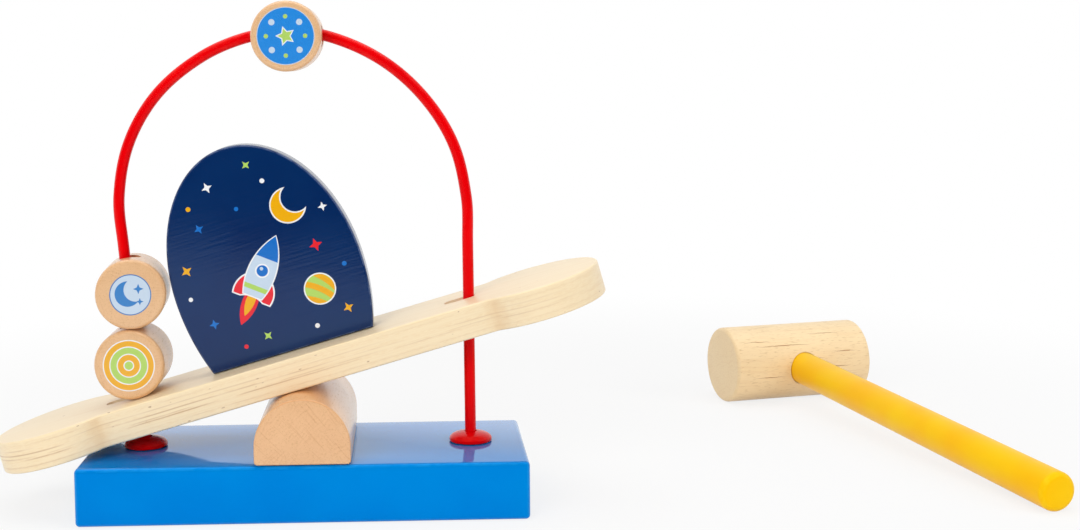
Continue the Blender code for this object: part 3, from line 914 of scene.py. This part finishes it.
def new_material(name, origin=nowhere, turn=nowhere, **plain):
    """A material, its shader with the plain sockets set directly, and places in the piece's own frame."""
    made = bpy.data.materials.new(name)
    made.use_nodes = True
    shader = made.node_tree.nodes["Principled BSDF"]
    fill(shader, spaced(plain))
    return made, shader, framed(add(made.node_tree, "TexCoord")["Object"], origin, turn)


def surface(shader, colour, rough, height, depth, rub, share, worn, rougher):
    """Links a colour and a roughness that change at rubbed edges, and a bump that is depth metres high."""
    bump = add(rub.tree, "Bump", {"Height": height, "Strength": 1.0, "Distance": depth})[0]
    fill(shader, {"Base Color": over(rub * share, colour, seen(*worn)),
                  "Roughness": rub * rougher + rough, "Normal": bump})


def edges_of(own, *axes):
    """The edge masks for all the axes joined, and where the surface faces front along the first."""
    coords = add(own.tree, "TexCoord")
    found = [placed(edge, coords["Object"], Normal=coords["Normal"], Axis=tuple(axis)) for axis in axes]
    return largest(*(made["Mask"] for made in found)), found[0]["Front"]


def dress(finish, *names):
    """Gives a finish to pieces or solids."""
    for name in names:
        data = bpy.data.objects[name].data
        data.materials.clear()
        data.materials.append(finish)
    print(finish.name, "on", ", ".join(names))


print("material helpers ready")

# %% [markdown]
# ## Paints
#
# The base is sprayed twice and shines, so it mirrors the studio at a flat angle. The wire and caps
# are dipped plastic. The panel is thinner paint that lets the grain show, and the handle is satin.

# %% Painted finishes
def painted(name, colour, shade, worn, axes, gloss, waves, peel, streaks=0.0, flat_shine=0.0,
            origin=nowhere, turn=nowhere, **plain):
    """Paint of one colour that drifts towards a shade, worn at its edges, shiny at a flat angle."""
    made, shader, own = new_material(name, origin, turn, **plain)
    film = placed(paint, own, Waves=waves, Peel=peel, Streaks=streaks)
    tone = over(step(film["Tone"], 0.35, 0.7), seen(*colour), seen(*shade))
    rub, _ = edges_of(own, *axes)
    surface(shader, tone, between(film["Tone"], *gloss), film["Height"], paint_relief,
            rub, 0.5, worn, 0.12)
    if flat_shine:
        facing = add(own.tree, "LayerWeight", {"Blend": 0.5})["Facing"]
        fill(shader, {"Coat Weight": between(step(facing, 0.5, 0.8), 0.0, flat_shine)})
    return made


blue_gloss = painted(
    "blue_gloss", (0, 128, 212), (0, 134, 216), (30, 150, 226), (Z, X), (0.04, 0.07), 0.35, 0.12,
    flat_shine=0.35, IOR=1.75, Coat_Roughness=0.04, Specular_Tint=(0.0, 0.3, 1.0, 1.0))
red_dip = painted(
    "red_dip", (236, 0, 6), (224, 0, 8), (240, 40, 36), (Z,), (0.12, 0.2), 0.3, 0.3,
    Specular_Tint=(1.0, 0.12, 0.12, 1.0))
yellow_satin = painted(
    "yellow_satin", (255, 203, 0), (255, 190, 0), (255, 214, 40), (handle_way,), (0.34, 0.44), 0.3, 0.2,
    0.35, origin=head_centre, turn=(0.0, 0.0, math.pi / 2.0 + mallet_turn),
    Specular_Tint=(1.0, 0.75, 0.05, 1.0))
dress(blue_gloss, "painted_base")
dress(red_dip, "coated_wire", "domed_cap_left", "domed_cap_right")
dress(yellow_satin, "painted_handle")

# %% [markdown]
# ## Panel print
#
# A night sky needs only a few motifs: a rocket, a moon, a small planet, and twinkling stars and dots
# between them. Each is a mask over the navy paint. The rocket's body is where two large circles
# overlap, and a crescent is one circle less another. All sizes of the prints are in millimetres.

# %% Print helpers
panel_foot = pivot + board_turn @ np.array((panel_centre, 0.0, board_top + panel_gap))
white, navy = seen(238, 240, 242), seen(0, 36, 88)
yellow, lime = seen(236, 172, 6), seen(176, 212, 98)
scarlet, blue, sky = seen(230, 34, 44), seen(24, 110, 196), seen(196, 214, 232)
ink_line = 0.6


def at(x, z):
    """A place on the print, in metres."""
    return (x / 1000.0, 0.0, z / 1000.0)


def round_mask(sheet, x, z, radius):
    """Mask of a disc on a sheet."""
    return placed(spot, sheet, Centre=at(x, z), Radius=radius / 1000.0)["Mask"]


def star_mask(sheet, x, z, radius, turn=0.0, points=4.0, waist=0.4):
    """Mask of a star on a sheet."""
    return placed(star, sheet, Centre=at(x, z), Radius=radius / 1000.0,
                  Turn=turn, Points=points, Waist=waist)["Mask"]


def lens(sheet, half_width, half_height, raised=0.0):
    """Where two equal circles overlap: a pointed oval, upright."""
    radius = (half_width ** 2 + half_height ** 2) / (2.0 * half_width)
    left = round_mask(sheet, radius - half_width, raised, radius)
    return left * round_mask(sheet, half_width - radius, raised, radius)


def inked(colour, *layers):
    """Prints each ink over what lies below it, where its mask is 1."""
    for mask, ink in layers:
        colour = over(mask, colour, ink)
    return colour


def spots(sheet, colour, *rows):
    """Prints round spots, each given as x, z, radius and ink."""
    return inked(colour, *((round_mask(sheet, *place), ink) for *place, ink in rows))


def stars(sheet, colour, *rows):
    """Prints stars, each given as x, z, radius, what else star_mask takes, and ink."""
    return inked(colour, *((star_mask(sheet, *place), ink) for *place, ink in rows))


def crescent(sheet, colour, x, z, radius, bite, ink, line=white):
    """A pale edged moon: a spot less a second spot that is shifted by bite."""
    for grown, tint in ((ink_line, line), (0.0, ink)):
        gone = round_mask(sheet, x + bite[0], z + bite[1], radius * 0.92 - grown)
        colour = over(round_mask(sheet, x, z, radius + grown) * (1.0 - gone), colour, tint)
    return colour


print("panel print stands at", panel_foot.round(4).tolist())

# %% Panel print
def rocket(sheet, colour, x, z, turn):
    """Flame, fins, hull, nose, band and window, drawn in a frame that is turned with the rocket."""
    own = framed(sheet, at(x, z), (0.0, turn, 0.0))
    height = apart(own)["Z"] * 1000.0
    soft = ink_edge * 1000.0

    def above(level):
        return step(height, level - soft, level + soft)

    def below(level):
        return step(height, level + soft, level - soft)

    def fins(half_width, half_height, low, gap):
        tips = lens(own, half_width, half_height, -9.5) * above(low)
        return tips * (1.0 - round_mask(own, 0.0, -21.5, gap))

    hull = lens(own, 6.2, 18.9) * above(-10.6)
    colour = inked(
        colour, (lens(own, 3.6, 11.0, -14.0) * below(-10.5), scarlet),
        (lens(own, 2.1, 7.5, -13.0) * below(-10.5), yellow),
        (fins(9.8, 10.5, -12.5, 10.5), white), (fins(9.1, 9.8, -11.9, 11.1), scarlet),
        (lens(own, 6.8, 19.5) * above(-11.2), white), (hull, sky), (hull * above(7.8), blue),
        (hull * above(-7.8) * below(-5.6), lime))
    return spots(own, colour, (0.0, 1.8, 3.3, white), (0.0, 1.8, 2.6, blue), (-0.7, 2.6, 0.8, sky))


def small_planet(sheet, colour, x, z, radius):
    """A lime spot with a pale line and slanting yellow bands, each the rim of a large circle."""
    body = round_mask(sheet, x, z, radius)
    colour = over(body, spots(sheet, colour, (x, z, radius + ink_line, white)), lime)
    for shift in (-0.9, 0.15, 1.2):
        middle = x - 2.6 * radius, z + (shift - 3.3) * radius
        rim = round_mask(sheet, *middle, 4.3 * radius) * (1.0 - round_mask(sheet, *middle, 3.9 * radius))
        colour = over(body * rim, colour, yellow)
    return colour


twinkles = (
    (-16.0, 83.0, 2.6, 0.2, white), (4.0, 88.0, 2.2, 0.5, lime), (24.0, 44.0, 3.2, 0.1, scarlet),
    (-36.0, 49.0, 2.8, 0.4, yellow), (-31.0, 22.0, 2.4, 0.0, blue), (30.0, 12.0, 2.6, 0.3, yellow),
    (-9.0, 10.0, 2.3, 0.6, lime), (32.0, 60.0, 2.2, 0.0, white), (-25.0, 66.0, 2.4, 0.3, blue))
dots = (
    (-27.0, 76.0, 1.1, yellow), (9.0, 79.0, 1.1, white), (-38.0, 36.0, 1.0, white),
    (34.0, 32.0, 1.1, blue), (-20.0, 8.0, 1.0, scarlet), (14.0, 8.0, 1.1, white), (-6.0, 70.0, 1.0, blue))


def sky_finish():
    """Navy paint with the print on its front face and rubbed edges."""
    made, shader, sheet = new_material(
        "navy_print", panel_foot, (0.0, -rest_tilt, 0.0), Specular_Tint=(0.75, 0.85, 1.0, 1.0))
    film = placed(paint, sheet, Waves=0.5, Peel=0.25, Streaks=0.7)
    base = over(step(film["Tone"], 0.3, 0.7), navy, seen(0, 42, 94))
    colour = rocket(sheet, base, -4.0, 38.0, math.radians(38.0))
    colour = crescent(sheet, colour, 17.0, 65.0, 7.8, (4.2, 2.6), yellow)
    colour = small_planet(sheet, colour, 20.0, 24.0, 6.8)
    colour = spots(sheet, stars(sheet, colour, *twinkles), *dots)
    rub, front = edges_of(sheet, Y)
    surface(shader, over(front, base, colour), between(film["Tone"], 0.12, 0.2), film["Height"],
            paint_relief, rub, 0.55, (92, 112, 152), 0.15)
    return made


dress(sky_finish(), "painted_panel")

# %% [markdown]
# ## Beech and its prints
#
# The fulcrum and the discs are slices of beech bar, so their fronts show end grain. The discs carry
# prints of the same inks as the panel.

# %% Beech finishes
# How far below the top of the fulcrum the painted shade of the crest reaches.
crest_shade_depth = 0.004


def beech(name, origin, pith, pale, dark, turn=nowhere, print_on=None, crest_shade_above=None,
          lacquer=1.0, **grain):
    """Lacquered beech, trunk along Y: ink on the front face, or painted shade on the crest under the board.
    """
    made, shader, own = new_material(
        name, origin, turn, Coat_Weight=lacquer, Coat_Roughness=0.22, Coat_IOR=1.6)
    values = {"Ring_Width": 0.0017, "Rays": 0.3, **grain}
    timber = placed(wood, own, Pale=seen(*pale), Dark=seen(*dark), Pith=pith, Rings=0.2,
                    Waver=0.0012, Fibres=0.35, Pores=0.25, **values)
    colour = timber["Color"]
    rub, front = edges_of(own, Y)
    # Painted shade: darker, warmer crest under the board, standing in for its shadow and bounced light.
    if crest_shade_above:
        crest = noise(own, (160.0, 40.0, 160.0)) * 0.003 + apart(own)["Z"]
        crest = step(crest, crest_shade_above, crest_shade_above + crest_shade_depth) * (1.0 - front)
        colour = over(crest * 0.55, colour, seen(222, 150, 84))
    if print_on:
        colour = over(front, colour, print_on(own, colour))
    surface(shader, colour, between(timber["Pore Mask"], 0.42, 0.62), timber["Height"], beech_relief,
            rub, 0.3, (226, 168, 108), -0.12)
    return made


def ringed_print(sheet, colour):
    """Yellow roundel with a lime ring and a lime centre, each with a pale line."""
    rings = ((11.8, white), (11.3, yellow), (8.8, white), (8.3, lime),
             (5.5, white), (5.0, yellow), (2.4, white), (1.9, lime))
    return spots(sheet, colour, *((0.0, 0.0, *ring) for ring in rings))


def moon_print(sheet, colour):
    """Pale roundel with a blue line, a blue moon and two stars."""
    ink = seen(36, 124, 196)
    colour = spots(sheet, colour, (0.0, 0.0, 9.4, seen(60, 120, 185)), (0.0, 0.0, 8.9, sky))
    colour = crescent(sheet, colour, -1.2, 0.4, 5.8, (3.6, 1.8), ink, sky)
    return stars(sheet, colour, (3.6, 2.6, 2.4, ink), (4.2, -3.2, 1.7, ink))


def spotted_print(sheet, colour):
    """Blue roundel with a lime star inside a ring of pale and lime spots."""
    colour = spots(sheet, colour, (0.0, 0.0, 13.0, sky), (0.0, 0.0, 12.7, seen(0, 134, 222)))
    points = 0.3, 5.0, 0.5
    colour = stars(sheet, colour, (0.0, 0.0, 4.6, *points, white), (0.0, 0.0, 3.6, *points, lime))
    ring = zip(arc(circle(8), 8.8, 8.8).tolist(), ((1.0, lime), (1.4, sky)) * 4)
    return spots(sheet, colour, *((*centre, *look) for centre, look in ring))


# The fulcrum gets painted shade on its crest, below the board.
dress(beech("beech_half_round", nowhere, (0.105, 0.0, -0.075), (236, 185, 133), (206, 145, 93),
            crest_shade_above=fulcrum_high[2] - crest_shade_depth), "beech_fulcrum")
for name, pith, print_on in (
        ("banded_disc", (0.02, 0.0, -0.16), ringed_print),
        ("moon_disc", (-0.03, 0.0, -0.18), moon_print),
        ("spotted_disc", (0.06, 0.0, 0.15), spotted_print)):
    centre, turn = disc_frames[name]
    dress(beech("beech_" + name, centre, pith, (232, 187, 139), (203, 149, 100), turn, print_on,
                lacquer=0.7, Ring_Width=0.0013, Rays=0.12), name)

# %% [markdown]
# ## Plywood and pale wood
#
# Plywood is a stack of thin sheets with their grain turned by a right angle each time. Seen from the
# side, sheets that run along the edge are smooth and pale, and those that run across show their ends
# as darker dashes. The stack is a function of the height in the board's own frame.

# %% Plywood
ply_count = 9.0
neck_place = 0.0930
waist_edge = 0.0006
glue_lines = ((0.18, 0.35), (0.39, 0.9), (0.45, 0.6), (0.56, 0.75), (0.70, 0.45), (0.84, 0.25))


def plywood_finish():
    """Streaks along and dashes across the sheets, a few glue lines, specks, and painted shade at the necks.
    """
    made, shader, own = new_material(
        "lacquered_plywood", pivot + board_turn @ (Z * board_low), (0.0, -rest_tilt, 0.0),
        Coat_Weight=0.35, Coat_Roughness=0.3)
    parts = apart(own)
    level = parts["Z"] / board_thickness + (noise(own, 30.0) - 0.5) * 0.03
    sheet = clamp(level, 0.04, 0.96) * ply_count - 0.5
    across = step(sheet.math("PINGPONG", 1.0), 0.42, 0.58)
    streak = over(across, noise(own, (26.0, 700.0, 1500.0), 3.0), noise(own, (420.0, 30.0, 1900.0)))
    share = clamp((streak - 0.45) + across * 0.1)
    colour = over(share, seen(248, 227, 189), seen(234, 201, 150))
    inner = band(level, 0.02, 0.06, 0.94, 0.98)
    stronger_left = between(step(parts["X"], 0.06, -0.06), 0.45, 1.0)
    for number, (height, strength) in enumerate(glue_lines):
        shifted = vectors("ADD", own, (0.3 * number, 0.0, 0.0))
        broken = step(noise(shifted, (34.0, 34.0, 260.0), 3.0), 0.38, 0.62)
        line = step(abs(level - height), 0.034, 0.0) * broken * stronger_left * strength * inner
        colour = over(line, colour, seen(204, 164, 120))
    specks = step(noise(own, (330.0, 600.0, 1100.0), 0.0), 0.85, 0.9)
    # Painted shade: the sides darken where the outline curves in at each neck, as the light turns there.
    near_neck = noise(own, (220.0, 220.0, 160.0)) * 0.006 + abs(abs(parts["X"]) - neck_place)
    side = step(abs(parts["Y"]), board_half_width - waist_edge, board_half_width)
    neck_shade = step(near_neck, 0.0095, 0.0025) * inner * side
    colour = inked(colour, (specks * 0.6, seen(160, 112, 74)), (neck_shade * 0.35, seen(228, 184, 128)))
    rub, _ = edges_of(own, board_turn @ Z)
    surface(shader, colour, between(share, 0.42, 0.55), streak, ply_relief,
            rub, 0.4, (250, 226, 176), -0.1)
    return made


dress(plywood_finish(), "plywood_board")

# %% Pale head wood, dowels and screws
def long_wood(name, origin, turn, axis, pale, dark, cracks=(), **grain):
    """Wood whose trunk runs along the local Y of a turned frame, with fine cracks along it."""
    made, shader, own = new_material(name, origin, turn, Coat_Weight=0.2, Coat_Roughness=0.35)
    timber = placed(wood, own, Pale=seen(*pale), Dark=seen(*dark), **grain)
    colour, parts = timber["Color"], apart(own)
    angle = angle_of(parts) + (noise(own, (60.0, 180.0, 60.0)) - 0.5) * 0.06
    for turn_at, middle, half, depth in cracks:
        side = abs(angle - turn_at)
        end = abs((parts["Y"] - middle) / half)
        line = step((1.0 - end) * 0.014 - side, -0.002, 0.004) * depth
        colour = over(line, colour, seen(176, 120, 66))
    rub, _ = edges_of(own, axis)
    surface(shader, colour, between(timber["Pore Mask"], 0.45, 0.6), timber["Height"], head_relief,
            rub, 0.35, (240, 206, 150), -0.1)
    return made


def plated_steel():
    """Zinc plated steel with fine turning lines, cloudy plating and bright worn edges."""
    made, shader, own = new_material("plated_screw", Metallic=1.0)
    cloud, lines = noise(own, 400.0, 3.0), noise(own, (200.0, 200.0, 6000.0))
    rub, _ = edges_of(own, Z)
    colour = over(cloud, seen(205, 200, 188), seen(170, 165, 155))
    surface(shader, colour, between(cloud, 0.25, 0.45), lines, steel_relief,
            rub, 0.6, (228, 226, 220), 0.0)
    return made


head_cracks = (
    (0.95, -0.012, 0.020, 0.9), (0.62, 0.016, 0.013, 0.8), (1.35, 0.004, 0.010, 0.7),
    (0.2, -0.02, 0.008, 0.6), (0.8, -0.028, 0.009, 0.8), (1.2, 0.026, 0.009, 0.9),
    (1.6, 0.02, 0.012, 0.8), (1.8, -0.022, 0.010, 0.8))
dress(long_wood(
    "pale_head_wood", head_centre, (0.0, 0.0, mallet_turn - math.pi / 2.0), head_way, (253, 226, 180),
    (236, 198, 146), head_cracks, Pith=(0.02, 0.0, -0.05), Ring_Width=0.003, Rings=0.25, Rays=0.15,
    Fibres=0.45, Pores=0.4), "turned_head")
dress(long_wood(
    "dowel_wood", nowhere, (math.pi / 2.0, 0.0, 0.0), board_turn @ Z, (240, 215, 175), (210, 170, 120),
    Rings=0.3, Rays=0.2, Fibres=0.5, Pores=0.3), "panel_dowel_left", "panel_dowel_right")
dress(plated_steel(), "fulcrum_screw_front", "fulcrum_screw_back")

# %% [markdown]
# ## Camera
#
# The camera stands in front of the bench and a little above it, with a long lens, and looks down by
# four degrees. The rest of the framing is a small shift of the picture, as a view camera does for
# products, so uprights stay nearly upright. It is turned and rolled by about one degree, like the one
# that took the reference picture.

# %% Camera
picture_width, picture_height = 1080, 530
camera_place = (0.0493, -0.6962, 0.2024)
camera_turn, camera_dip, camera_roll = (math.radians(angle) for angle in (1.283, 3.883, 0.674))
focal_pixels = 1512.3
picture_centre = (444.3, 165.0)
sensor = 36.0

camera = bpy.data.objects.new("camera", bpy.data.cameras.new("camera"))
camera.data.sensor_width = sensor
camera.data.lens = focal_pixels / picture_width * sensor
camera.data.shift_x = (picture_width / 2.0 - picture_centre[0]) / picture_width
camera.data.shift_y = (picture_centre[1] - picture_height / 2.0) / picture_width
camera.data.clip_start = 0.01
aimed = Matrix.Rotation(-camera_turn, 4, "Z") @ Matrix.Rotation(math.pi / 2.0 - camera_dip, 4, "X")
rolled = Matrix.Rotation(-camera_roll, 4, "Z")
camera.matrix_world = Matrix.Translation(camera_place) @ aimed @ rolled
bpy.context.scene.collection.objects.link(camera)
bpy.context.scene.camera = camera
print("lens", round(camera.data.lens, 2), "mm, shift",
      round(camera.data.shift_x, 4), round(camera.data.shift_y, 4))

# %% [markdown]
# ## Studio
#
# The reference was taken in a white studio: a pale table that runs into a white background, a large
# soft light above, a softer one from the front left and a weak one from the right. Camera rays see
# the background as plain white. Glossy rays see it white behind the bench, and a dim room behind the
# camera, so upright gloss stays deep in colour while the top of the base mirrors the white. The
# table runs from a little behind the camera to far behind the bench.

# %% Table
table_front, table_back, table_side = -1.05, 3.0, 3.0
table_colour = seen(238, 238, 238)
shadow_centre = (0.1, 0.05, 0.0)


def light_ray(tree, *kinds):
    """1 on rays of the given kinds, 0 on the others."""
    path = add(tree, "LightPath")
    return largest(*(path["Is " + kind + " Ray"] for kind in kinds))


def table_finish():
    """Shadows stay faint near the bench and fade to plain white; other rays see plain pale paint."""
    made, shader, own = new_material(
        "table", shadow_centre, Base_Color=table_colour, Roughness=0.6, Specular_IOR_Level=0.0)
    tree = own.tree
    glow = add(tree, "Emission", {"Color": seen(255, 255, 255), "Strength": 1.0})[0]
    white_share = between(step(length(own), 0.25, 0.6), 0.8, 1.0)
    share = light_ray(tree, "Camera", "Glossy", "Transmission") * white_share
    lit = add(tree, "MixShader", {0: share, 1: Field(shader.outputs[0]), 2: glow})[0]
    fill(tree.nodes["Material Output"], {"Surface": lit})
    return made


table_mesh = bpy.data.meshes.new("table")
table_mesh.from_pydata(
    [(-table_side, table_front, 0.0), (table_side, table_front, 0.0),
     (table_side, table_back, 0.0), (-table_side, table_back, 0.0)], [], [(0, 1, 2, 3)])
table = bpy.data.objects.new("table", table_mesh)
table_mesh.materials.append(table_finish())
bpy.context.scene.collection.objects.link(table)
print("table from", table_front, "to", table_back)

# %% World
room_light, room_dim = 0.41, 0.04


def studio_world():
    """Background for camera rays, white behind and dim in front for glossy rays, even light for the rest."""
    made = bpy.data.worlds.new("studio")
    made.use_nodes = True
    tree = made.node_tree
    heading = apart(add(tree, "TexCoord")["Generated"])
    mirrored = between(step(heading["Z"] * 0.5 + heading["Y"], -0.35, 0.05), room_dim, 1.0)
    level = add(tree, "Mix", {0: light_ray(tree, "Glossy"), 2: room_light, 3: mirrored})[0]
    level = add(tree, "Mix", {0: light_ray(tree, "Camera", "Transmission"), 2: level, 3: 1.0})[0]
    fill(tree.nodes["Background"], {"Color": seen(255, 255, 255), "Strength": level})
    return made


bpy.context.scene.world = studio_world()
bpy.context.scene.view_settings.view_transform = "Standard"
print("world", bpy.context.scene.world.name)

# %% Lamps
def soft_light(name, centre, aim, width, height, power, mirrored):
    """A rectangular lamp that faces a point, seen in reflections or not."""
    lamp = bpy.data.lights.new(name, "AREA")
    lamp.shape = "RECTANGLE"
    lamp.size, lamp.size_y, lamp.energy = width, height, power
    holder = bpy.data.objects.new(name, lamp)
    facing = (Vector(aim) - Vector(centre)).to_track_quat("-Z", "Y").to_matrix().to_4x4()
    holder.matrix_world = Matrix.Translation(centre) @ facing
    holder.visible_glossy = mirrored
    bpy.context.scene.collection.objects.link(holder)


soft_light("overhead_light", (0.05, 0.15, 1.3), (0.05, 0.05, 0.0), 1.4, 1.0, 7.0, True)
soft_light("key_light", (-0.65, -1.25, 0.7), (0.05, 0.0, 0.06), 0.9, 0.7, 10.4, False)
soft_light("fill_light", (1.2, -0.6, 0.7), (0.05, 0.0, 0.08), 0.7, 0.7, 4.6, False)
print("three lamps")
